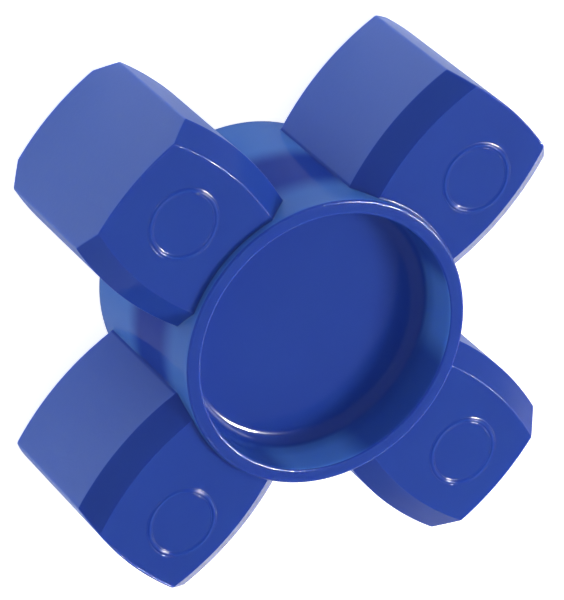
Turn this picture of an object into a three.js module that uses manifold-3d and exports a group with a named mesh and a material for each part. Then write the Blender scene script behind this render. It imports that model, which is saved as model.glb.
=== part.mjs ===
// Jaw coupling spider: the one-piece elastic star that sits between the jaws of two coupling hubs.
// Sizes are in millimetres. +Z runs along the coupling's axis, and the ring rests on the plane z = 0.
// The lobes lie along +X, +Y, -X and -Y.

import * as THREE from 'three';
import { mergeVertices } from 'three/addons/utils/BufferGeometryUtils.js';
import Module from 'manifold-3d';

// The ring in the middle
const RING_OUTER_RADIUS = 7.85;
const RING_WALL = 0.78;
const RING_LENGTH = 10.7;
const RIM_OUTER_ROUND = 0.15;
const RIM_INNER_ROUND = 0.12;

// The web that closes the ring between its two recesses
const FRONT_RECESS_DEPTH = 2.95;
const WEB_THICKNESS = 2.9;
const RECESS_FOOT_FILLET = 0.85;

// The lobes: barrel-shaped flanks, cut off by one common tip cylinder
const TIP_RADIUS = 15;
const LOBE_THICKNESS = 9.8;
const LOBE_HALF_WIDTH = 4.63;
const LOBE_WIDEST_AT = 10.65;
const FLANK_RADIUS = 15.1;
const FRONT_BEVEL_ACROSS = 1.17;
const FRONT_BEVEL_DEEP = 1.14;
const BACK_BEVEL_ACROSS = 1.09;
const BACK_BEVEL_DEEP = 0.93;

// The fine raised ring that an ejector pin has left on the front face of each lobe. Each pin stands
// at its own place: how far out along the lobe, and how far to the left of its middle.
const PIN_RING_RADIUS = 1.8;
const PIN_RING_WIDTH = 0.3;
const PIN_RING_HEIGHT = 0.04;
const PIN_PLACES = [
  { out: 11.75, left: 0.6 },
  { out: 11.7, left: 0 },
  { out: 11.2, left: -0.85 },
  { out: 11.2, left: -0.1 },
];

// Fineness of the round stretches
const RING_STEPS = 72;
const EDGE_STEPS = 2;
const FLANK_STEPS = 144;
const TIP_STEPS = 144;
const PIN_RING_STEPS = 32;

const ringInnerRadius = RING_OUTER_RADIUS - RING_WALL;
const ringMidRadius = RING_OUTER_RADIUS - RING_WALL / 2;
const webFront = RING_LENGTH - FRONT_RECESS_DEPTH;
const webBack = webFront - WEB_THICKNESS;
const lobeBack = (RING_LENGTH - LOBE_THICKNESS) / 2;
const lobeFront = lobeBack + LOBE_THICKNESS;
const QUARTER = Math.PI / 2;

const manifold = await Module();
manifold.setup();

// Turns a closed three.js geometry into a solid that can be cut and joined. A turned body's triangles
// shrink to a line where its profile meets the axis, and those are left out.
function solidFrom(geometry) {
  const bare = geometry.clone();
  bare.deleteAttribute('normal');
  bare.deleteAttribute('uv');
  const merged = mergeVertices(bare);
  const corners = merged.index.array;
  const kept = [];
  for (let start = 0; start < corners.length; start += 3) {
    const [a, b, c] = corners.subarray(start, start + 3);
    if (a !== b && b !== c && c !== a) kept.push(a, b, c);
  }
  const mesh = new manifold.Mesh({
    numProp: 3,
    vertProperties: new Float32Array(merged.attributes.position.array),
    triVerts: new Uint32Array(kept),
  });
  return new manifold.Manifold(mesh);
}

// Turns a solid back into a three.js geometry.
function geometryFrom(solid) {
  const mesh = solid.getMesh();
  const geometry = new THREE.BufferGeometry();
  geometry.setAttribute('position', new THREE.BufferAttribute(mesh.vertProperties, 3));
  geometry.setIndex(new THREE.BufferAttribute(mesh.triVerts, 1));
  geometry.computeVertexNormals();
  return geometry;
}

// A body of revolution about Z, from a profile of (radius, height) points.
function turned(profile, steps) {
  return new THREE.LatheGeometry(profile, steps).rotateX(QUARTER);
}

// The ring and its web in one profile: from the web's back face out to the wall, up and back in.
function ringProfile() {
  const path = new THREE.Path();
  const footRadius = ringInnerRadius - RECESS_FOOT_FILLET;
  const innerEdge = ringInnerRadius + RIM_INNER_ROUND;
  const outerEdge = RING_OUTER_RADIUS - RIM_OUTER_ROUND;
  path.moveTo(0, webBack);
  path.lineTo(footRadius, webBack);
  path.absarc(footRadius, webBack - RECESS_FOOT_FILLET, RECESS_FOOT_FILLET, QUARTER, 0, true);
  path.absarc(innerEdge, RIM_INNER_ROUND, RIM_INNER_ROUND, Math.PI, Math.PI + QUARTER, false);
  path.absarc(outerEdge, RIM_OUTER_ROUND, RIM_OUTER_ROUND, -QUARTER, 0, false);
  path.absarc(outerEdge, RING_LENGTH - RIM_OUTER_ROUND, RIM_OUTER_ROUND, 0, QUARTER, false);
  path.absarc(innerEdge, RING_LENGTH - RIM_INNER_ROUND, RIM_INNER_ROUND, QUARTER, Math.PI, false);
  path.absarc(footRadius, webFront + RECESS_FOOT_FILLET, RECESS_FOOT_FILLET, 0, -QUARTER, true);
  path.lineTo(0, webFront);
  return path.getPoints(EDGE_STEPS);
}

// A disc as thick as a lobe whose rim is a lobe's flank, with a bevel along both edges.
function flankDisc() {
  return turned([
    new THREE.Vector2(0, lobeBack),
    new THREE.Vector2(FLANK_RADIUS - BACK_BEVEL_ACROSS, lobeBack),
    new THREE.Vector2(FLANK_RADIUS, lobeBack + BACK_BEVEL_DEEP),
    new THREE.Vector2(FLANK_RADIUS, lobeFront - FRONT_BEVEL_DEEP),
    new THREE.Vector2(FLANK_RADIUS - FRONT_BEVEL_ACROSS, lobeFront),
    new THREE.Vector2(0, lobeFront),
  ], FLANK_STEPS);
}

// An upright cylinder on the axis that reaches past both ends of the ring.
function axialCylinder(radius, steps) {
  const cylinder = new THREE.CylinderGeometry(radius, radius, 2 * RING_LENGTH, steps);
  return solidFrom(cylinder.rotateX(QUARTER).translate(0, 0, RING_LENGTH / 2));
}

// The lobe along +X: where two flank discs overlap, inside the tip cylinder and outside the ring's bore.
function makeLobe() {
  const offset = FLANK_RADIUS - LOBE_HALF_WIDTH;
  const left = solidFrom(flankDisc().translate(LOBE_WIDEST_AT, -offset, 0));
  const right = solidFrom(flankDisc().translate(LOBE_WIDEST_AT, offset, 0));
  const outerHalf = new THREE.BoxGeometry(2 * TIP_RADIUS, 2 * TIP_RADIUS, 2 * RING_LENGTH);
  return left
    .intersect(right)
    .intersect(axialCylinder(TIP_RADIUS, TIP_STEPS))
    .intersect(solidFrom(outerHalf.translate(TIP_RADIUS, 0, RING_LENGTH / 2)))
    .subtract(axialCylinder(ringMidRadius, RING_STEPS));
}

// The fine ring around the place of one ejector pin: a low ridge that is rooted in the lobe's face.
function makePinRing(place) {
  const outside = PIN_RING_RADIUS + PIN_RING_WIDTH / 2;
  const inside = PIN_RING_RADIUS - PIN_RING_WIDTH / 2;
  const ridge = turned([
    new THREE.Vector2(inside, lobeFront),
    new THREE.Vector2(inside, lobeFront - PIN_RING_WIDTH),
    new THREE.Vector2(outside, lobeFront - PIN_RING_WIDTH),
    new THREE.Vector2(outside, lobeFront),
    new THREE.Vector2(PIN_RING_RADIUS, lobeFront + PIN_RING_HEIGHT),
    new THREE.Vector2(inside, lobeFront),
  ], PIN_RING_STEPS);
  return solidFrom(ridge.translate(place.out, place.left, 0));
}

let spiderSolid = solidFrom(turned(ringProfile(), RING_STEPS));
const lobeSolid = makeLobe();
PIN_PLACES.forEach((place, index) => {
  const lobe = lobeSolid.add(makePinRing(place));
  spiderSolid = spiderSolid.add(lobe.rotate([0, 0, (360 / PIN_PLACES.length) * index]));
});

const polyurethane = new THREE.MeshStandardMaterial({
  color: 0x2f489a,
  roughness: 0.35,
  metalness: 0,
});

const spider = new THREE.Mesh(geometryFrom(spiderSolid), polyurethane);
spider.name = 'spider';

const group = new THREE.Group();
group.add(spider);

export default group;
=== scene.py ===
"""A jaw coupling spider on a studio table, laid out as an add-on and run as a script.

The spider is one moulding of blue polyurethane. One quarter of it, a lobe with its share of the ring, is
modelled as a net of surfaces, and a Geometry Nodes tree turns it round the axis into the whole. The
places of the ejector pins are filled in last, because each lobe has its own.
All lengths in the panel are in metres, +Z is the coupling's axis and the ring rests on z = 0.
"""
from math import asin, atan2, cos, pi, radians, sin, sqrt, tan

import bmesh
import bpy
from bpy.props import FloatProperty, FloatVectorProperty, IntProperty, PointerProperty
from mathutils import Matrix, Vector


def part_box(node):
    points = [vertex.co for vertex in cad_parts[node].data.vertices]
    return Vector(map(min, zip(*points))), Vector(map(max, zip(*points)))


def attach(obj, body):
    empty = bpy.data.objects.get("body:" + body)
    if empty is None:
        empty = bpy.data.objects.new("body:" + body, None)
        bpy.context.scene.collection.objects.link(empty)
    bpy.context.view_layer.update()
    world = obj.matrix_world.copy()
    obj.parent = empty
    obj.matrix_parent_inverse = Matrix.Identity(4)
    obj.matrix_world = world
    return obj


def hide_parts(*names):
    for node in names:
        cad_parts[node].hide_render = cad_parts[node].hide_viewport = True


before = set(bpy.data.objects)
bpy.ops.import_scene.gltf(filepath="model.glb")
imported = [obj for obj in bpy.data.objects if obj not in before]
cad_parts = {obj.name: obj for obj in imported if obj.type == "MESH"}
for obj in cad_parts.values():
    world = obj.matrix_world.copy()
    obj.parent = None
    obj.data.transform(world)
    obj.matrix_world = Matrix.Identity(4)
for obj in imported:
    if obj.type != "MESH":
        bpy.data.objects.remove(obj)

bl_info = {
    "name": "Jaw Coupling Spider",
    "version": (1, 0, 0),
    "blender": (4, 5, 0),
    "location": "View3D > Sidebar > Spider",
    "description": "Builds the elastic spider of a jaw coupling, its finish and a plain studio",
    "category": "Object",
}

NODE = "spider"
MM = 0.001
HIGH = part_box(NODE)[1]
# Facets across the rounding of an edge
STEPS_ROUND = 3
# Where each lobe's ejector pin stood, in millimetres: out from the axis, and to the left of its middle
PIN_PLACES = ((11.75, 0.6), (11.7, 0.0), (11.2, -0.85), (11.2, -0.1))
# The mesh attribute that is 1 on the fine rings that the pins have left
PIN_RING = "pin_ring"
# The stretch of a lobe's front face that holds the pin's place, in millimetres out from the axis
FIELD_REACH = (8.9, 13.95)
# The fine ring's ridge: rows up each of its sides, a flat strip beside it, and the rows inside the ring,
# as shares of the way to its middle
RIDGE_STEPS = 4
RIDGE_SUPPORT = 0.06 * MM
FIELD_ROWS = (0.4, 0.7)
# Points closer together than this are one point: across the seams of the quarters, and inside one
SEAM = 0.002 * MM
SAME_POINT = 1e-7
# The lamps stand this far from the spider, in metres, in these directions
LAMP_DISTANCE = 0.32
TO_KEY = (-0.295, 0.523, 0.8)
TO_STRIP = (-0.4, 0.71, 0.57)

# Where one finish of the moulding passes into the next. Slopes are given by how far the surface's
# normal points up or down, from 0 on a wall to 1 on a face.
SLOPING, STEEP = 0.6, 0.3
# An edge starts where the surface has turned away from a face, and ends before the bevel's slope
EDGE_SLOPES = ((0.999, 0.99), (0.74, 0.8))
# The matt finish is full this far outside the ring, and the bare wall's painted glow and painted shade
# end between these
MATT_FROM = 0.25 * MM
WALL_END = (0.02 * MM, 0.06 * MM)
# The share of the wall's thickness, from outside, that counts as the rim
RIM_SHARE = 0.95
# The share of the web's thickness, from its middle, in which the wall has no painted glow and the outer
# wall carries the painted shade band
SHADE_BAND_SHARE = 0.35
# How much of the painted glow is left beside the front recess, under painted shade, and inside the ring
# behind a lobe
FRONT_SHADE = 0.8
BEHIND_LOBE = 0.2
# The wave round the axis is 1 at the lobes and -1 between them. A gap starts and is full at these.
GAP_WAVE = (0.1, -0.8)
# Light travels less far through the moulding in red, and furthest in blue
REACH_BY_COLOUR = (0.5, 0.7, 1.0)


def length(name, description, millimetres):
    """A length property that is shown in the scene's units."""
    return FloatProperty(name=name, description=description, default=millimetres * MM,
                         min=0.0, precision=5, unit="LENGTH", subtype="DISTANCE")


def tint(name, description, code):
    """A colour property whose default is written as an sRGB hex code."""
    return FloatVectorProperty(name=name, description=description, default=linear(code),
                               size=3, min=0.0, max=1.0, subtype="COLOR")


def linear(code):
    """Linear RGB of an sRGB hex colour."""
    parts = [int(code[place:place + 2], 16) / 255 for place in (1, 3, 5)]
    return tuple(part / 12.92 if part <= 0.04045 else ((part + 0.055) / 1.055) ** 2.4 for part in parts)


class SpiderSizes(bpy.types.PropertyGroup):
    """Sizes of the moulding."""
    tip_radius: length("Tip radius", "Axis to the tips of the lobes", HIGH[0] / MM)
    ring_length: length("Ring length", "Length of the ring along the axis", HIGH[2] / MM)
    ring_radius: length("Ring radius", "Outer radius of the ring", 7.85)
    ring_wall: length("Ring wall", "Thickness of the ring's wall", 0.78)
    rim_outer_round: length("Outer rim round", "Radius of the ring's outer edges", 0.15)
    rim_inner_round: length("Inner rim round", "Radius of the ring's inner edges", 0.12)
    recess_depth: length("Front recess", "Depth of the front recess", 2.95)
    web: length("Web", "Thickness of the web that closes the ring", 2.9)
    foot_fillet: length("Foot fillet", "Radius where the recess's wall meets its floor", 0.85)
    lobe_thickness: length("Lobe thickness", "Length of a lobe along the axis", 9.8)
    lobe_half_width: length("Lobe half width", "Half of a lobe's greatest width", 4.63)
    lobe_widest_at: length("Widest at", "Axis to the place where a lobe is widest", 10.65)
    flank_radius: length("Flank radius", "Radius of the barrel-shaped flanks", 15.1)
    front_bevel_across: length("Front bevel width", "How far the bevel cuts into the front face", 1.17)
    front_bevel_deep: length("Front bevel depth", "How far the front bevel runs down the flank", 1.14)
    back_bevel_across: length("Back bevel width", "How far the bevel cuts into the back face", 1.09)
    back_bevel_deep: length("Back bevel depth", "How far the back bevel runs up the flank", 0.93)
    edge_round: length("Edge round", "Radius of the moulding's sharp edges", 0.1)
    tip_round: length("Tip edge round", "Radius of the edges round a lobe's tip", 0.08)
    root_fillet: length("Root fillet", "Radius where a lobe meets the ring", 0.05)
    pin_ring_radius: length("Pin ring radius", "Radius of the fine ring that an ejector pin has left", 1.8)
    pin_ring_width: length("Pin ring width", "Width of the fine ring's ridge", 0.3)
    pin_ring_height: length("Pin ring height", "Height of the fine ring's ridge", 0.04)
    lobes: IntProperty(name="Lobes", description="Number of lobes round the ring", default=4, min=3, max=8)


class SpiderFinish(bpy.types.PropertyGroup):
    """Colours and surface of the polyurethane, with painted glow, painted shade and painted sheen among the
    colours.
    """
    body: tint("Body", "Colour of the polished faces", "#2847a4")
    clouds: tint("Clouds", "Colour where the pigment lies thinner", "#2c4fad")
    # Lighter than the body: the matt sides' own colour with a painted sheen and painted light laid on it
    matt: tint("Matt sides colour", "Colour of the finely matt flanks and tips", "#5570bd")
    # Painted light and shade on the ring's wall: glow outside, glow inside, and a shade band by the web
    painted_outer_glow: tint("Painted glow on the outer wall", "Colour of the ring's wall where light passes it", "#4d7dcb")
    glow: tint("Glow inside", "Colour inside the ring where light comes through its wall", "#6ba6ee")
    painted_shade_band: tint("Painted shade band", "Colour of the ring's wall where the web backs it", "#163a9c")
    rough_face: FloatProperty(name="Polished faces", description="Roughness of the faces and the ring",
                              default=0.1, min=0.0, max=1.0, subtype="FACTOR")
    rough_side: FloatProperty(name="Matt sides", description="Roughness of the flanks and tips",
                              default=0.38, min=0.0, max=1.0, subtype="FACTOR")
    gloss: FloatProperty(name="Gloss", description="How strongly the surface mirrors",
                         default=0.15, min=0.0, max=1.0, subtype="FACTOR")
    gloss_pin: FloatProperty(name="Pin ring gloss", description="How strongly the fine pin rings mirror",
                             default=0.02, min=0.0, max=1.0, subtype="FACTOR")
    ior: FloatProperty(name="IOR", description="Refractive index of the polyurethane",
                       default=1.5, min=1.0, max=3.0)
    light_reach: length("Light's reach", "How far light travels inside the moulding", 0.7)
    cloud_size: length("Cloud size", "Width of the pigment's clouds", 6.0)
    wave_size: length("Wave size", "From crest to crest of the moulding's slow waves", 2.5)
    wave_height: length("Wave height", "Height of the slow waves", 0.02)
    # Spark erosion leaves a grain of about 0.15 mm, which is drawn twice as coarse so that it shows
    grain_size: length("Grain size", "Width of the grain on the matt sides", 0.3)
    grain_height: length("Grain height", "Height of the grain on the matt sides", 0.012)
    nick_size: length("Nick size", "Width of the nicks and flash on the edges", 0.25)
    nick_height: length("Nick height", "Height of the nicks and flash on the edges", 0.04)


class StudioSettings(bpy.types.PropertyGroup):
    """Camera, table and the room's light."""
    azimuth: FloatProperty(name="Camera azimuth", description="Direction of the camera round the axis",
                           default=radians(-2.6), subtype="ANGLE")
    elevation: FloatProperty(name="Camera elevation", description="Height of the camera over the table",
                             default=radians(53.17), subtype="ANGLE")
    roll: FloatProperty(name="Camera roll", description="Turn of the picture", default=radians(132.1),
                        subtype="ANGLE")
    target: FloatVectorProperty(name="Camera target", description="Where the middle of the picture lies",
                                default=(-0.08 * MM, 0.05 * MM, HIGH[2] / 2), size=3, precision=5,
                                subtype="TRANSLATION")
    distance: length("Camera distance", "Camera to the middle of the spider", 232.6)
    lens: FloatProperty(name="Lens", description="Focal length in millimetres", default=271.5, min=1.0,
                        subtype="NONE")
    table_size: length("Table size", "Side of the table's top", 3000.0)
    table: tint("Table", "Colour of the table", "#e9e9ea")
    shaded: FloatProperty(name="Shaded white", description="How white the table looks beside the spider",
                          default=0.85, min=0.0, max=1.0, subtype="FACTOR")
    shade_start: length("Shade's start", "Radius up to which the table is shaded", 14.0)
    shade_end: length("Shade's end", "Radius from which the table is plain white", 60.0)
    mirrored: FloatProperty(name="Mirrored table", default=0.2, min=0.0, max=1.0, subtype="FACTOR",
                            description="How bright the table is in the spider's gloss")
    room: FloatProperty(name="Room light", description="Strength of the room's light on the spider",
                        default=0.55, min=0.0, max=1.0, subtype="FACTOR")


def add_node(tree, kind, settings=None, inputs=None):
    """Adds a node, sets its properties, and fills its inputs with values or with other sockets."""
    node = tree.nodes.new(kind)
    for name, value in (settings or {}).items():
        setattr(node, name, value)
    for name, value in (inputs or {}).items():
        if isinstance(value, bpy.types.NodeSocket):
            tree.links.new(value, node.inputs[name])
        else:
            node.inputs[name].default_value = value
    return node


def moulded_polyurethane(finish, sizes):
    """Thermoplastic polyurethane, injection moulded and dyed through: light enters it and comes out a
    millimetre or so away, so slender walls glow. The tool was polished on the faces and in the ring, and
    spark-eroded on the flanks and tips, which look finely matt. Light and shade are also painted into the
    colour: a painted glow and a painted shade band on the ring's bare wall, and a painted sheen on the
    matt sides."""
    material = bpy.data.materials.new("Moulded translucent polyurethane")
    material.use_nodes = True
    tree = material.node_tree
    tree.nodes.clear()
    place = add_node(tree, "ShaderNodeTexCoord").outputs
    # The pigment lies in faint clouds
    clouds = add_node(tree, "ShaderNodeTexNoise", inputs={
        "Vector": place["Object"], "Scale": 1 / finish.cloud_size, "Detail": 3.0, "Roughness": 0.5})
    pigment = add_node(tree, "ShaderNodeMix", {"data_type": "RGBA"}, {
        "Factor": clouds.outputs["Fac"], "A": (*finish.body, 1), "B": (*finish.clouds, 1)})
    # How far a surface stands upright, from 0 on the faces to 1 on walls, flanks and tips. The flanks and
    # tips, which lie outside the ring, are matt.
    normal = add_node(tree, "ShaderNodeSeparateXYZ", inputs={"Vector": place["Normal"]})
    lying = add_node(tree, "ShaderNodeMath", {"operation": "ABSOLUTE"}, {0: normal.outputs["Z"]})
    level = add_node(tree, "ShaderNodeVectorMath", {"operation": "MULTIPLY"},
                     {0: place["Object"], 1: (1, 1, 0)})
    away = add_node(tree, "ShaderNodeVectorMath", {"operation": "LENGTH"}, {0: level.outputs["Vector"]})
    outside = add_node(tree, "ShaderNodeMapRange", {"interpolation_type": "SMOOTHSTEP"}, {
        "Value": away.outputs["Value"], "From Min": sizes.ring_radius + sizes.root_fillet,
        "From Max": sizes.ring_radius + MATT_FROM})
    upright = add_node(tree, "ShaderNodeMapRange", {"interpolation_type": "SMOOTHSTEP"}, {
        "Value": lying.outputs[0], "From Min": SLOPING, "From Max": STEEP})
    matt = add_node(tree, "ShaderNodeMath", {"operation": "MULTIPLY"},
                    {0: upright.outputs["Result"], 1: outside.outputs["Result"]})
    # The matt sides' colour carries a painted sheen and painted light on top of their own colour
    colour = add_node(tree, "ShaderNodeMix", {"data_type": "RGBA"}, {
        "Factor": matt.outputs[0], "A": pigment.outputs["Result"], "B": (*finish.matt, 1)})
    # The bare ring wall has light and shade painted into its colour: a painted glow beside both recesses,
    # where light passes it, and a painted shade band beside the web. The front recess is painted deeper in
    # the shade of the lobes than the back one.
    spot = add_node(tree, "ShaderNodeSeparateXYZ", inputs={"Vector": place["Object"]}).outputs
    web_middle = sizes.ring_length - sizes.recess_depth - sizes.web / 2
    above_web = add_node(tree, "ShaderNodeMath", {"operation": "SUBTRACT"}, {0: spot["Z"], 1: web_middle})
    from_web = add_node(tree, "ShaderNodeMath", {"operation": "ABSOLUTE"}, {0: above_web.outputs[0]})
    shade = add_node(tree, "ShaderNodeMapRange", inputs={
        "Value": above_web.outputs[0], "From Min": -sizes.web / 2, "From Max": sizes.web / 2,
        "To Min": 1.0, "To Max": FRONT_SHADE})
    painted_glow_by_height = add_node(tree, "ShaderNodeMapRange", {"interpolation_type": "SMOOTHSTEP"}, {
        "Value": from_web.outputs[0], "From Min": sizes.web * SHADE_BAND_SHARE, "From Max": sizes.web,
        "To Max": shade.outputs["Result"]})
    on_ring = add_node(tree, "ShaderNodeMapRange", {"interpolation_type": "SMOOTHSTEP"}, {
        "Value": away.outputs["Value"], "From Min": sizes.ring_radius + WALL_END[1],
        "From Max": sizes.ring_radius + WALL_END[0]})
    upright_wall = add_node(tree, "ShaderNodeMath", {"operation": "MULTIPLY"},
                            {0: upright.outputs["Result"], 1: on_ring.outputs["Result"]})
    # Inside the ring the painted glow of light through the wall is full only between the lobes, where this
    # wave is low
    turn = add_node(tree, "ShaderNodeMath", {"operation": "ARCTAN2"}, {0: spot["Y"], 1: spot["X"]})
    turns = add_node(tree, "ShaderNodeMath", {"operation": "MULTIPLY"},
                     {0: turn.outputs[0], 1: sizes.lobes})
    beside = add_node(tree, "ShaderNodeMath", {"operation": "COSINE"}, {0: turns.outputs[0]})
    gap = add_node(tree, "ShaderNodeMapRange", {"interpolation_type": "SMOOTHSTEP"}, {
        "Value": beside.outputs[0], "From Min": GAP_WAVE[0], "From Max": GAP_WAVE[1],
        "To Min": BEHIND_LOBE, "To Max": 1.0})
    outer = add_node(tree, "ShaderNodeMath", {"operation": "GREATER_THAN"}, {
        0: away.outputs["Value"], 1: sizes.ring_radius - sizes.ring_wall / 2})
    open_to_light = add_node(tree, "ShaderNodeMath", {"operation": "MAXIMUM"}, {
        0: gap.outputs["Result"], 1: outer.outputs[0]})
    lit = add_node(tree, "ShaderNodeMath", {"operation": "MULTIPLY"}, {
        0: painted_glow_by_height.outputs["Result"], 1: open_to_light.outputs[0]})
    # The painted glow's colour: one on the inner wall, one on the outer wall
    painted_glow_colour = add_node(tree, "ShaderNodeMix", {"data_type": "RGBA"}, {
        "Factor": outer.outputs[0], "A": (*finish.glow, 1), "B": (*finish.painted_outer_glow, 1)})
    # Where no glow is painted: the inner wall keeps its pigment, the outer wall takes the painted shade
    # band
    wall_in_painted_shade = add_node(tree, "ShaderNodeMix", {"data_type": "RGBA"}, {
        "Factor": outer.outputs[0], "A": pigment.outputs["Result"], "B": (*finish.painted_shade_band, 1)})
    wall = add_node(tree, "ShaderNodeMix", {"data_type": "RGBA"}, {
        "Factor": lit.outputs[0], "A": wall_in_painted_shade.outputs["Result"], "B": painted_glow_colour.outputs["Result"]})
    colour = add_node(tree, "ShaderNodeMix", {"data_type": "RGBA"}, {
        "Factor": upright_wall.outputs[0], "A": colour.outputs["Result"], "B": wall.outputs["Result"]})
    rough = add_node(tree, "ShaderNodeMapRange", inputs={
        "Value": matt.outputs[0], "To Min": finish.rough_face, "To Max": finish.rough_side})
    # The fine rings round the pins' places are duller than the polished face
    pin_ring = add_node(tree, "ShaderNodeAttribute", {"attribute_name": PIN_RING}).outputs["Fac"]
    gloss = add_node(tree, "ShaderNodeMapRange", inputs={
        "Value": pin_ring, "To Min": finish.gloss, "To Max": finish.gloss_pin})
    # The spark-eroded grain of the matt sides
    grain = add_node(tree, "ShaderNodeTexNoise", inputs={
        "Vector": place["Object"], "Scale": 1 / finish.grain_size, "Detail": 2.0, "Roughness": 0.6})
    grain_height = add_node(tree, "ShaderNodeMath", {"operation": "MULTIPLY"},
                            {0: grain.outputs["Fac"], 1: matt.outputs[0]})
    # The slow waviness of a shrunk moulding
    waves = add_node(tree, "ShaderNodeTexNoise", inputs={
        "Vector": place["Object"], "Scale": 1 / finish.wave_size, "Detail": 1.0, "Roughness": 0.4})
    wavy = add_node(tree, "ShaderNodeBump", inputs={
        "Height": waves.outputs["Fac"], "Distance": finish.wave_height, "Strength": 1.0})
    bumpy = add_node(tree, "ShaderNodeBump", inputs={
        "Height": grain_height.outputs[0], "Distance": finish.grain_height, "Strength": 1.0,
        "Normal": wavy.outputs["Normal"]})
    # Small nicks and flash along the rims and the edges, where the surface turns from a face
    turned, bevelled = [add_node(tree, "ShaderNodeMapRange", {"interpolation_type": "SMOOTHSTEP"}, {
        "Value": lying.outputs[0], "From Min": start, "From Max": end}).outputs["Result"]
        for start, end in EDGE_SLOPES]
    turning = add_node(tree, "ShaderNodeMath", {"operation": "MULTIPLY"}, {0: turned, 1: bevelled})
    rim = add_node(tree, "ShaderNodeMapRange", {"interpolation_type": "SMOOTHSTEP"}, {
        "Value": away.outputs["Value"], "From Min": sizes.ring_radius - sizes.ring_wall,
        "From Max": sizes.ring_radius - sizes.ring_wall * RIM_SHARE})
    edge = add_node(tree, "ShaderNodeMath", {"operation": "MULTIPLY"},
                    {0: turning.outputs[0], 1: rim.outputs["Result"]})
    edge = add_node(tree, "ShaderNodeMath", {"operation": "SUBTRACT", "use_clamp": True},
                    {0: edge.outputs[0], 1: pin_ring})
    flecks = add_node(tree, "ShaderNodeTexNoise", inputs={
        "Vector": place["Object"], "Scale": 1 / finish.nick_size, "Detail": 1.0, "Roughness": 0.5})
    nicks = add_node(tree, "ShaderNodeMath", {"operation": "MULTIPLY"},
                     {0: flecks.outputs["Fac"], 1: edge.outputs[0]})
    nicked = add_node(tree, "ShaderNodeBump", inputs={
        "Height": nicks.outputs[0], "Distance": finish.nick_height, "Strength": 1.0,
        "Normal": bumpy.outputs["Normal"]})
    shader = add_node(tree, "ShaderNodeBsdfPrincipled", inputs={
        "Base Color": colour.outputs["Result"], "Roughness": rough.outputs["Result"],
        "Normal": nicked.outputs["Normal"], "IOR": finish.ior,
        "Specular IOR Level": gloss.outputs["Result"], "Subsurface Weight": 1.0,
        "Subsurface Radius": REACH_BY_COLOUR, "Subsurface Scale": finish.light_reach})
    add_node(tree, "ShaderNodeOutputMaterial", inputs={"Surface": shader.outputs["BSDF"]})
    return material


def corner_round(turn, radius):
    """Offsets of the points that round a corner of a section, which arrives along +X and turns down.

    They are measured from the sharp corner, from the arc's start to its end."""
    reach = radius * tan(turn / 2)
    angles = [turn * step / STEPS_ROUND for step in range(STEPS_ROUND + 1)]
    return [(radius * sin(angle) - reach, radius * cos(angle) - radius) for angle in angles]


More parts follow.
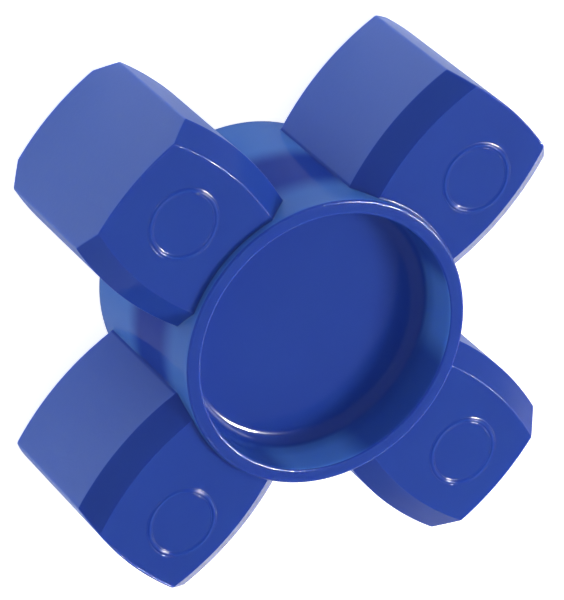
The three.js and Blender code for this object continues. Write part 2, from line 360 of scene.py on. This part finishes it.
class LobeSection:
    """The section across a lobe, as points whose place follows the lobe's width.

    Each point is (share of the half width, how far inside the flank, sideways offset, height, sideways
    growth, upward growth). A section that grows moves every side out by the same amount."""

    # The front face is cut into cells from edge to edge: a few narrow ones, the pin's field, a few again
    FIELD_CELLS = 18
    FIELD_SHARE = 0.9
    MARGIN = (0.95, 0.985, 1.0)
    COLUMNS = FIELD_CELLS + 2 * len(MARGIN)
    BEVEL_SHARES = (0.06, 0.5, 0.94)
    FLANK_SHARES = (0.01, 0.12, 0.3, 0.5, 0.7, 0.88, 0.99)
    # Rounds of working out where a section meets a cylinder, which end far below a micrometre from it
    ROUNDS = 12

    def __init__(self, sizes):
        self.sizes = sizes
        front = self.edge(sizes.front_bevel_across, sizes.front_bevel_deep)
        back = [(share, inset, offset, -height, sideways, -upward)
                for share, inset, offset, height, sideways, upward
                in self.edge(sizes.back_bevel_across, sizes.back_bevel_deep)]
        high, low = front[-1], back[-1]
        flank = [(1, 0, 0, high[3] + (low[3] - high[3]) * share, 1, high[5] + (low[5] - high[5]) * share)
                 for share in self.FLANK_SHARES]
        side = front + flank + back[::-1]
        self.side_count = len(side)
        field = [self.FIELD_SHARE * (2 * cell / self.FIELD_CELLS - 1)
                 for cell in range(self.FIELD_CELLS + 1)]
        shares = [-share for share in reversed(self.MARGIN)] + field + list(self.MARGIN)
        left = [(-share, inset, -offset, height, -sideways, upward)
                for share, inset, offset, height, sideways, upward in reversed(side)]
        self.points = (self.face(front[0], shares) + side[1:-1]
                       + self.face(back[0], shares)[::-1] + left[1:-1])

    def edge(self, across, deep):
        """From a face's right edge over its bevel to the flank."""
        sizes = self.sizes
        turn = atan2(deep, across)
        top = sizes.lobe_thickness / 2
        growth = (tan(turn / 2), tan((pi / 2 - turn) / 2))
        points = [(1, across, right, top + up, growth[0], 1)
                  for right, up in corner_round(turn, sizes.edge_round)]
        points += [(1, across * (1 - share), 0, top - deep * share, growth[0] + (1 - growth[0]) * share,
                    1 + (growth[1] - 1) * share) for share in self.BEVEL_SHARES]
        steep = corner_round(pi / 2 - turn, sizes.edge_round)
        return points + [(1, 0, back, top - deep + down, 1, growth[1]) for down, back in reversed(steep)]

    def face(self, corner, shares):
        """The points of a face, from its left edge to the right one, where a corner's rounding starts."""
        _, inset, offset, height, sideways, upward = corner
        return [(share, inset, share * offset, height, share * sideways, upward) for share in shares]

    def place(self, point, out, grow):
        """Sideways place and height of a point of the section at a distance out from the axis."""
        share, inset, offset, height, sideways, upward = point
        sizes = self.sizes
        middle = sizes.lobe_half_width - sizes.flank_radius
        full = middle + sqrt((sizes.flank_radius - inset) ** 2 - (out - sizes.lobe_widest_at) ** 2)
        return share * full + offset + sideways * grow, height + upward * grow

    def on_cylinder(self, point, radius, grow):
        """Where a point of the section meets an upright cylinder round the axis."""
        out = radius
        for _ in range(self.ROUNDS):
            across, height = self.place(point, out, grow)
            out = sqrt(radius ** 2 - across ** 2)
        return Vector((out, across, height))

    def ring_at(self, radius, grow):
        """The whole section laid on an upright cylinder."""
        return [self.on_cylinder(point, radius, grow) for point in self.points]

    def between(self, start, end, share):
        """The whole section at a share of the way between two others, on the lobe's own surface."""
        result = []
        for point, first, last in zip(self.points, start, end):
            out = first.x + (last.x - first.x) * share
            result.append(Vector((out, *self.place(point, out, 0))))
        return result

    def faces(self, row):
        """The parts of a section that lie on the front and on the back face, each from left to right."""
        back = self.COLUMNS + self.side_count - 1
        return row[:self.COLUMNS + 1], row[back:back + self.COLUMNS + 1][::-1]

    def flat_at(self, out):
        """The whole section at one distance from the axis."""
        return [Vector((out, *self.place(point, out, 0))) for point in self.points]


def arc_points(centre, radius, start, end, steps):
    """Points of an arc in the (radius, height) plane, ends included, angles in quarter turns."""
    angles = [(start + (end - start) * step / steps) * pi / 2 for step in range(steps + 1)]
    return [(centre[0] + radius * cos(angle), centre[1] + radius * sin(angle)) for angle in angles]


class QuarterNet:
    """Gathers the surfaces of one quarter of the spider as rows of points."""

    # Shares of the way at which rows lie: foot to pin's field, field to tip, down the recess's wall, and
    # from its foot fillet to the axis
    FOOT_ROWS = (0.04, 0.35, 0.7)
    TIP_ROWS = (0.35, 0.7, 0.93)
    WALL_ROWS = (0.1, 0.4, 0.7, 0.95)
    FLOOR_ROWS = (0.98, 0.88, 0.75, 0.6, 0.45, 0.3, 0.15)
    # Steps of the arcs of the outer rim, the inner rim and the foot fillet
    OUTER_STEPS, INNER_STEPS, FILLET_STEPS = 5, 4, 8
    # Columns of the bare wall from a lobe to the middle of the gap
    GAP_COLUMNS = 8
    # The wall gets a row of its own where a lobe's face lies further than this below the rim
    LEAST_STEP = 0.01 * MM

    def __init__(self, sizes):
        self.sizes = sizes
        self.mesh = bmesh.new()
        self.section = LobeSection(sizes)
        self.middle = sizes.ring_length / 2

    def patch(self, rows, closed=False, skip=None):
        """Adds the quads between rows of points, which may close round and may leave cells out."""
        corners = [[self.mesh.verts.new(point) for point in row] for row in rows]
        count = len(rows[0])
        for upper in range(len(rows) - 1):
            for left in range(count if closed else count - 1):
                if skip and skip(upper, left):
                    continue
                right = (left + 1) % count
                self.mesh.faces.new((corners[upper][left], corners[upper][right],
                                     corners[upper + 1][right], corners[upper + 1][left]))

    def lobe(self):
        """The lobe from its foot on the ring to its tip, open where the pin's field lies on its front."""
        sizes, section = self.sizes, self.section
        steps = STEPS_ROUND
        quarter = [pi / 2 * step / steps for step in range(steps + 1)]
        foot = [section.ring_at(sizes.ring_radius + sizes.root_fillet * (1 - sin(angle)),
                                sizes.root_fillet * (1 - cos(angle))) for angle in reversed(quarter)]
        tip = [section.ring_at(sizes.tip_radius + sizes.tip_round * (sin(angle) - 1),
                               -sizes.tip_round * (1 - cos(angle))) for angle in quarter]
        first, last = (section.flat_at(out * MM) for out in FIELD_REACH)
        cells = section.FIELD_CELLS
        rows = list(foot)
        rows += [section.between(foot[-1], first, share) for share in self.FOOT_ROWS]
        start = len(rows)
        rows += [section.flat_at((FIELD_REACH[0] + (FIELD_REACH[1] - FIELD_REACH[0]) * cell / cells) * MM)
                 for cell in range(cells + 1)]
        end = len(rows) - 1
        rows += [section.between(last, tip[0], share) for share in self.TIP_ROWS]
        rows += tip
        side = len(section.MARGIN)
        self.patch(rows, closed=True, skip=lambda row, column: (
            start <= row < end and side <= column < side + cells))
        self.field = [rows[start][column] for column in range(side, side + cells)]
        self.field += [rows[row][side + cells] for row in range(start, end)]
        self.field += [rows[end][column] for column in range(side + cells, side, -1)]
        self.field += [rows[row][side] for row in range(end, start, -1)]
        # The tip, filled in between the two sides of the last row
        edge = tip[-1]
        right = [edge[section.COLUMNS + place] for place in range(section.side_count)]
        front, back = ([point.y / face[-1].y for point in face] for face in section.faces(edge))
        face = []
        for place, corner in enumerate(right):
            down = place / (len(right) - 1)
            row = []
            for upper, lower in zip(front, back):
                across = (upper + (lower - upper) * down) * corner.y
                row.append(Vector((sqrt(sizes.tip_radius ** 2 - across ** 2), across, corner.z)))
            face.append(row)
        self.patch(face)
        self.foot = foot[0]

    def ring(self):
        """This quarter of the ring and its web: the bare wall beside the lobe, then both ends."""
        sizes, section = self.sizes, self.section
        shares = [column / self.GAP_COLUMNS for column in range(self.GAP_COLUMNS + 1)]
        limit = pi / sizes.lobes
        right = [self.foot[section.COLUMNS + place] for place in range(section.side_count)]
        for mirror in (1, -1):
            rows = []
            for corner in right:
                start = asin(corner.y / sizes.ring_radius)
                turns = [start + (limit - start) * share for share in shares]
                rows.append([Vector((sizes.ring_radius * cos(turn), mirror * sizes.ring_radius * sin(turn),
                                     corner.z)) for turn in turns])
            self.patch(rows)
        back_depth = sizes.ring_length - sizes.recess_depth - sizes.web
        for side, depth, foot in zip((1, -1), (sizes.recess_depth, back_depth), section.faces(self.foot)):
            start = asin(foot[-1].y / sizes.ring_radius)
            gap = [start + (limit - start) * share for share in shares[1:]]
            turns = [-turn for turn in reversed(gap)] + [atan2(point.y, point.x) for point in foot] + gap
            profile = self.end_profile(depth)
            if profile[0][1] - abs(foot[-1].z) > self.LEAST_STEP:
                profile.insert(0, (sizes.ring_radius, abs(foot[-1].z)))
            rows = [[Vector((radius * cos(turn), radius * sin(turn), side * height)) for turn in turns]
                    for radius, height in profile]
            self.patch(rows)
            middle = self.mesh.verts.new((0, 0, side * profile[-1][1]))
            inner = [self.mesh.verts.new(point) for point in rows[-1]]
            for place in range(len(inner) - 1):
                self.mesh.faces.new((inner[place], inner[place + 1], middle))

    def end_profile(self, depth):
        """From the outer wall over the rim and down to the recess's floor, as (radius, height)."""
        sizes = self.sizes
        end = sizes.ring_length / 2
        inner = sizes.ring_radius - sizes.ring_wall
        outer_round, inner_round, fillet = sizes.rim_outer_round, sizes.rim_inner_round, sizes.foot_fillet
        floor = end - depth
        points = arc_points((sizes.ring_radius - outer_round, end - outer_round), outer_round, 0, 1,
                            self.OUTER_STEPS)
        points += arc_points((inner + inner_round, end - inner_round), inner_round, 1, 2,
                             self.INNER_STEPS)
        top, foot = end - inner_round, floor + fillet
        points += [(inner, top + (foot - top) * share) for share in self.WALL_ROWS]
        flat = inner - fillet
        points += arc_points((flat, foot), fillet, 0, -1, self.FILLET_STEPS)
        points += [(flat * share, floor) for share in self.FLOOR_ROWS]
        return points

    def finish(self):
        """Closes the quarter's seams and returns it as a mesh that stands on the ring's end."""
        bmesh.ops.remove_doubles(self.mesh, verts=self.mesh.verts, dist=SAME_POINT)
        bmesh.ops.translate(self.mesh, verts=self.mesh.verts, vec=(0, 0, self.middle))
        data = bpy.data.meshes.new("quarter")
        self.mesh.to_mesh(data)
        self.mesh.free()
        return data


def fill_pin_field(mesh, sizes, field, place, turn):
    """Closes one lobe's open field with the flat face and the fine raised ring round its pin's place."""
    centre = Vector((place[0] * MM, place[1] * MM, field[0].z))
    half = sizes.pin_ring_width / 2
    profile = [(half + RIDGE_SUPPORT, 0)]
    profile += [(half * share, sizes.pin_ring_height * (1 + cos(pi * share)) / 2)
                for share in (1 - step / RIDGE_STEPS for step in range(2 * RIDGE_STEPS + 1))]
    profile += [(-half - RIDGE_SUPPORT, 0)]
    profile += [(-sizes.pin_ring_radius * share, 0) for share in FIELD_ROWS]
    rings = [field]
    for beside, height in profile:
        ring = []
        for point in field:
            spoke = (point - centre).normalized()
            ring.append(centre + spoke * (sizes.pin_ring_radius + beside) + Vector((0, 0, height)))
        rings.append(ring)
    turned = Matrix.Rotation(turn, 4, "Z") @ Matrix.Translation((0, 0, sizes.ring_length / 2))
    corners = [[mesh.verts.new(turned @ point) for point in ring] for ring in rings]
    mark = mesh.verts.layers.float[PIN_RING]
    for ring, (_, height) in zip(corners[1:], profile):
        for corner in ring:
            corner[mark] = float(height > 0)
    middle = mesh.verts.new(turned @ centre)
    for place_in_ring in range(len(field)):
        following = (place_in_ring + 1) % len(field)
        for outer, inner in zip(corners, corners[1:]):
            mesh.faces.new((outer[place_in_ring], outer[following], inner[following], inner[place_in_ring]))
        mesh.faces.new((corners[-1][place_in_ring], corners[-1][following], middle))


def repeat_tree():
    """A tree that repeats one sector round Z, joins the seams and gives the whole its material."""
    tree = bpy.data.node_groups.new("Repeat a sector round the axis", "GeometryNodeTree")
    ports = tree.interface
    ports.new_socket("Sector", in_out="INPUT", socket_type="NodeSocketGeometry")
    ports.new_socket("Count", in_out="INPUT", socket_type="NodeSocketInt")
    ports.new_socket("Seam", in_out="INPUT", socket_type="NodeSocketFloat")
    ports.new_socket("Material", in_out="INPUT", socket_type="NodeSocketMaterial")
    ports.new_socket("Whole", in_out="OUTPUT", socket_type="NodeSocketGeometry")
    given = add_node(tree, "NodeGroupInput").outputs
    points = add_node(tree, "GeometryNodePoints", inputs={"Count": given["Count"]})
    step = add_node(tree, "ShaderNodeMath", {"operation": "DIVIDE"}, {0: 2 * pi, 1: given["Count"]})
    index = add_node(tree, "GeometryNodeInputIndex")
    angle = add_node(tree, "ShaderNodeMath", {"operation": "MULTIPLY"},
                     {0: index.outputs["Index"], 1: step.outputs[0]})
    turn = add_node(tree, "FunctionNodeAxisAngleToRotation", inputs={
        "Axis": (0, 0, 1), "Angle": angle.outputs[0]})
    copies = add_node(tree, "GeometryNodeInstanceOnPoints", inputs={
        "Points": points.outputs[0], "Instance": given["Sector"], "Rotation": turn.outputs["Rotation"]})
    real = add_node(tree, "GeometryNodeRealizeInstances", inputs={"Geometry": copies.outputs["Instances"]})
    joined = add_node(tree, "GeometryNodeMergeByDistance", inputs={
        "Geometry": real.outputs["Geometry"], "Distance": given["Seam"]})
    named = add_node(tree, "GeometryNodeSetMaterial", inputs={
        "Geometry": joined.outputs["Geometry"], "Material": given["Material"]})
    add_node(tree, "NodeGroupOutput", inputs={"Whole": named.outputs["Geometry"]})
    return tree


def repeated(sector, count, material):
    """The plain mesh that the repeating tree makes of one sector."""
    maker = bpy.data.objects.new("sector", sector)
    bpy.context.scene.collection.objects.link(maker)
    modifier = maker.modifiers.new("Round the axis", "NODES")
    modifier.node_group = repeat_tree()
    values = {"Count": count, "Seam": SEAM, "Material": material}
    for item in modifier.node_group.interface.items_tree:
        if item.in_out == "INPUT" and item.name in values:
            modifier[item.identifier] = values[item.name]
    solved = maker.evaluated_get(bpy.context.evaluated_depsgraph_get())
    whole = bpy.data.meshes.new_from_object(solved)
    bpy.data.objects.remove(maker)
    return whole


class SPIDER_OT_moulding(bpy.types.Operator):
    """Builds the one-piece spider and its polyurethane finish"""
    bl_idname = "spider.moulding"
    bl_label = "Build Spider"

    def execute(self, context):
        sizes = context.scene.spider_sizes
        net = QuarterNet(sizes)
        net.lobe()
        net.ring()
        material = moulded_polyurethane(context.scene.spider_finish, sizes)
        whole = repeated(net.finish(), sizes.lobes, material)
        shape = bmesh.new()
        shape.from_mesh(whole)
        shape.verts.layers.float.new(PIN_RING)
        for index in range(sizes.lobes):
            place = PIN_PLACES[index % len(PIN_PLACES)]
            fill_pin_field(shape, sizes, net.field, place, 2 * pi * index / sizes.lobes)
        bmesh.ops.remove_doubles(shape, verts=shape.verts, dist=SEAM)
        shape.faces.ensure_lookup_table()
        finish = shape.faces[0].material_index
        for face in shape.faces:
            face.material_index = finish
        bmesh.ops.recalc_face_normals(shape, faces=shape.faces)
        loose = [edge for edge in shape.edges if len(edge.link_faces) != 2]
        shape.to_mesh(whole)
        shape.free()
        if loose:
            raise RuntimeError(f"the spider's surface is open at {len(loose)} edges")
        whole.shade_smooth()
        whole.name = "moulded spider"
        piece = bpy.data.objects.new("moulded_spider", whole)
        context.scene.collection.objects.link(piece)
        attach(piece, "root")
        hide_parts(NODE)
        return {"FINISHED"}


def white_table(studio):
    """A sheet of matt white card, lit from below. It takes the soft shadow, looks white to the camera, less
    so close to the spider, and is dimmer in the spider's gloss."""
    material = bpy.data.materials.new("Matt white card")
    material.use_nodes = True
    tree = material.node_tree
    tree.nodes.clear()
    card = add_node(tree, "ShaderNodeBsdfDiffuse", inputs={"Color": (*studio.table, 1)})
    path = add_node(tree, "ShaderNodeLightPath").outputs
    mirrored = add_node(tree, "ShaderNodeMath", {"operation": "MAXIMUM"}, {
        0: path["Is Glossy Ray"], 1: path["Is Transmission Ray"]})
    mirrored = add_node(tree, "ShaderNodeMath", {"operation": "MULTIPLY"},
                        {0: mirrored.outputs[0], 1: studio.mirrored})
    away = add_node(tree, "ShaderNodeVectorMath", {"operation": "LENGTH"}, {
        0: add_node(tree, "ShaderNodeTexCoord").outputs["Object"]})
    white = add_node(tree, "ShaderNodeMapRange", {"interpolation_type": "SMOOTHSTEP"}, {
        "Value": away.outputs["Value"], "From Min": studio.shade_start, "From Max": studio.shade_end,
        "To Min": studio.shaded, "To Max": 1.0})
    seen = add_node(tree, "ShaderNodeMath", {"operation": "MULTIPLY_ADD"}, {
        0: path["Is Camera Ray"], 1: white.outputs["Result"], 2: mirrored.outputs[0]})
    glow = add_node(tree, "ShaderNodeEmission", inputs={"Color": (1, 1, 1, 1), "Strength": seen.outputs[0]})
    both = add_node(tree, "ShaderNodeAddShader", inputs={0: card.outputs[0], 1: glow.outputs[0]})
    add_node(tree, "ShaderNodeOutputMaterial", inputs={"Surface": both.outputs[0]})
    return material


def room_air(light):
    """A dim room that looks white to the camera."""
    world = bpy.data.worlds.new("Dim room")
    world.use_nodes = True
    tree = world.node_tree
    tree.nodes.clear()
    seen = add_node(tree, "ShaderNodeLightPath").outputs["Is Camera Ray"]
    level = add_node(tree, "ShaderNodeMapRange", inputs={"Value": seen, "To Min": light, "To Max": 1.0})
    air = add_node(tree, "ShaderNodeBackground", inputs={
        "Color": (1, 1, 1, 1), "Strength": level.outputs["Result"]})
    add_node(tree, "ShaderNodeOutputWorld", inputs={"Surface": air.outputs["Background"]})
    return world


def area_lamp(name, direction, size, power):
    """A soft lamp that looks at the spider from a direction, all lengths in metres and power in watts."""
    data = bpy.data.lights.new(name, "AREA")
    data.shape = "RECTANGLE"
    data.size, data.size_y = size
    data.energy = power
    lamp = bpy.data.objects.new(name, data)
    towards = Vector(direction).normalized()
    lamp.location = towards * LAMP_DISTANCE
    lamp.rotation_euler = towards.to_track_quat("Z", "Y").to_euler()
    bpy.context.scene.collection.objects.link(lamp)
    return lamp


class SPIDER_OT_studio(bpy.types.Operator):
    """Sets up the table, the lamps, the world and the camera"""
    bl_idname = "spider.studio"
    bl_label = "Build Studio"

    def execute(self, context):
        scene = context.scene
        studio = scene.spider_studio
        half = studio.table_size / 2
        table = bpy.data.meshes.new("table")
        table.from_pydata([(-half, -half, 0), (half, -half, 0), (half, half, 0), (-half, half, 0)], [],
                          [(0, 1, 2, 3)])
        table.materials.append(white_table(studio))
        floor = bpy.data.objects.new("table", table)
        scene.collection.objects.link(floor)

        # The key only lights, and the next two only show as bright spots and edges in the gloss
        key = area_lamp("Key softbox", TO_KEY, size=(0.1, 0.1), power=0.5)
        key.visible_glossy = False
        shine = area_lamp("Key's highlight", TO_KEY, size=(0.035, 0.035), power=5.0)
        shine.visible_diffuse = False
        shine = area_lamp("Strip's highlight", TO_STRIP, size=(0.45, 0.05), power=0.6)
        shine.visible_diffuse = False
        # The panel shines up through the spider from just above the table's top
        panel = area_lamp("Light panel in the table", (0, 0, -1), size=(0.08, 0.08), power=0.013)
        panel.location = (0, 0, 0.02 * MM)
        panel.visible_camera = False
        panel.visible_glossy = False
        scene.world = room_air(studio.room)

        scene.view_settings.view_transform = "Standard"
        data = bpy.data.cameras.new("Camera")
        data.lens = studio.lens
        data.sensor_width = 36
        data.clip_start = 0.01
        camera = bpy.data.objects.new("Camera", data)
        scene.collection.objects.link(camera)
        target = Vector(studio.target)
        towards = Vector((cos(studio.elevation) * sin(studio.azimuth),
                          -cos(studio.elevation) * cos(studio.azimuth), sin(studio.elevation)))
        aim = towards.to_track_quat("Z", "Y").to_matrix().to_4x4()
        camera.matrix_world = (Matrix.Translation(target + towards * studio.distance)
                               @ aim @ Matrix.Rotation(studio.roll, 4, "Z"))
        scene.camera = camera
        return {"FINISHED"}


class SPIDER_PT_panel(bpy.types.Panel):
    """Lists the spider's sizes, finish and studio"""
    bl_label = "Jaw Coupling Spider"
    bl_idname = "SPIDER_PT_panel"
    bl_space_type = "VIEW_3D"
    bl_region_type = "UI"
    bl_category = "Spider"

    def draw(self, context):
        for group, operator in (("spider_sizes", "spider.moulding"), ("spider_finish", None),
                                ("spider_studio", "spider.studio")):
            box = self.layout.box()
            settings = getattr(context.scene, group)
            for name in settings.__annotations__:
                box.prop(settings, name)
            if operator:
                box.operator(operator)


CLASSES = (SpiderSizes, SpiderFinish, StudioSettings, SPIDER_OT_moulding, SPIDER_OT_studio, SPIDER_PT_panel)


def register():
    for cls in CLASSES:
        bpy.utils.register_class(cls)
    bpy.types.Scene.spider_sizes = PointerProperty(type=SpiderSizes)
    bpy.types.Scene.spider_finish = PointerProperty(type=SpiderFinish)
    bpy.types.Scene.spider_studio = PointerProperty(type=StudioSettings)


def unregister():
    del bpy.types.Scene.spider_studio
    del bpy.types.Scene.spider_finish
    del bpy.types.Scene.spider_sizes
    for cls in reversed(CLASSES):
        bpy.utils.unregister_class(cls)


def main():
    """Builds everything in order."""
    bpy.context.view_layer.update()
    register()
    bpy.ops.spider.moulding()
    bpy.ops.spider.studio()


if __name__ == "__main__":
    main()
